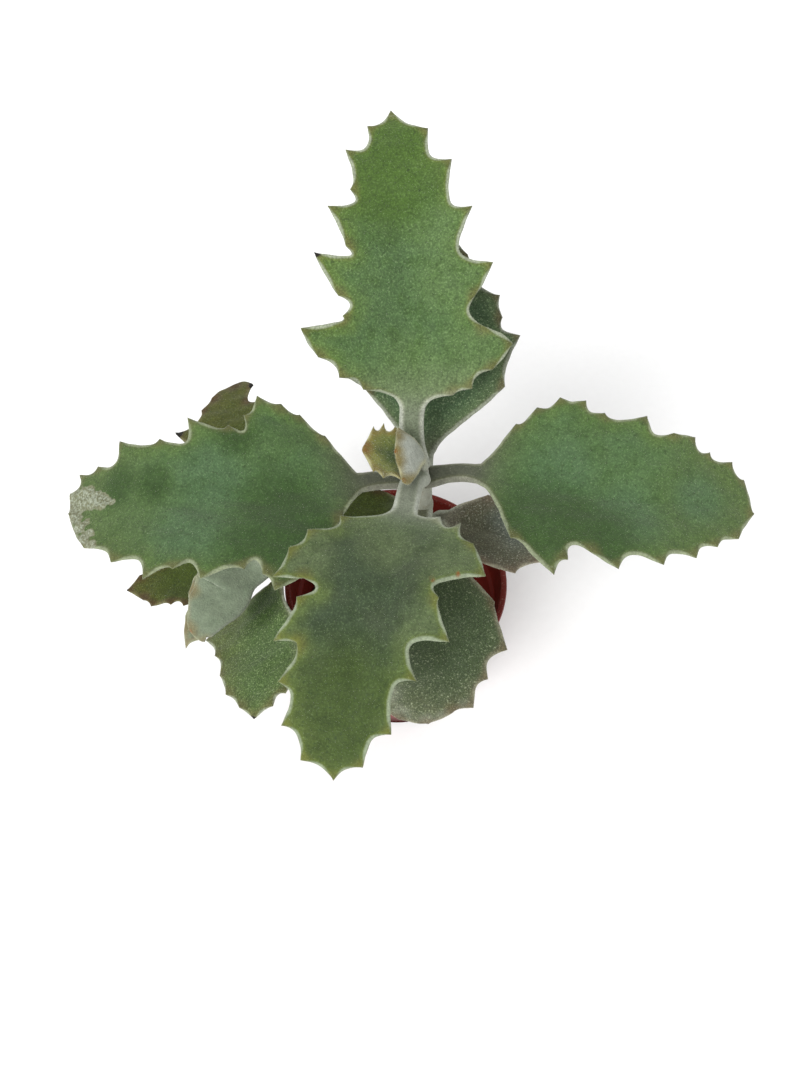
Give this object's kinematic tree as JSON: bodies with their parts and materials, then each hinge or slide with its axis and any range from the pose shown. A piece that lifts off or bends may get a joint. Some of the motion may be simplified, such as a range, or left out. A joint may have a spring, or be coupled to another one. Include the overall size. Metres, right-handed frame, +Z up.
{
  "type": "potted kalanchoe",
  "caption": "Young felt-leaved kalanchoe with toothed leaves on one upright stem, standing in potting mix in a round thin-walled nursery pot.",
  "frame": {"origin": "centre of the pot's flat underside, which rests on the surface", "axes": "+Z up along the pot's axis, -Y towards the viewer, +X to the viewer's right"},
  "size_m": [0.2199, 0.1994, 0.2058],
  "materials": {
    "pot": "thin red-brown moulded polypropylene, satin",
    "soil": "damp peat and bark potting mix, crumbly and matt",
    "stem": "grey felted stem with brown leaf scars",
    "leaf": "thick green leaf under short grey felt",
    "leaf_old": "older dark green leaf with coarser grey-brown felt",
    "leaf_pale": "pale silver-green felted underside",
    "leaf_young": "young leaf in dense whitish felt with orange-brown tooth tips"
  },
  "bodies": {
    "root": {"pot": "pot", "soil": "soil", "stem": "stem", "leaf_top": "leaf", "leaf_front": "leaf", "leaf_left": "leaf", "leaf_right": "leaf", "leaf_back": "leaf_old", "leaf_front_low": "leaf_old", "leaf_right_low": "leaf_old", "leaf_left_low": "leaf_old", "leaf_left_mid": "leaf_old", "leaf_folded": "leaf_pale", "leaf_front_left": "leaf", "leaf_young_left": "leaf_young", "leaf_young_right": "leaf_young"}
  },
  "joints": []
}
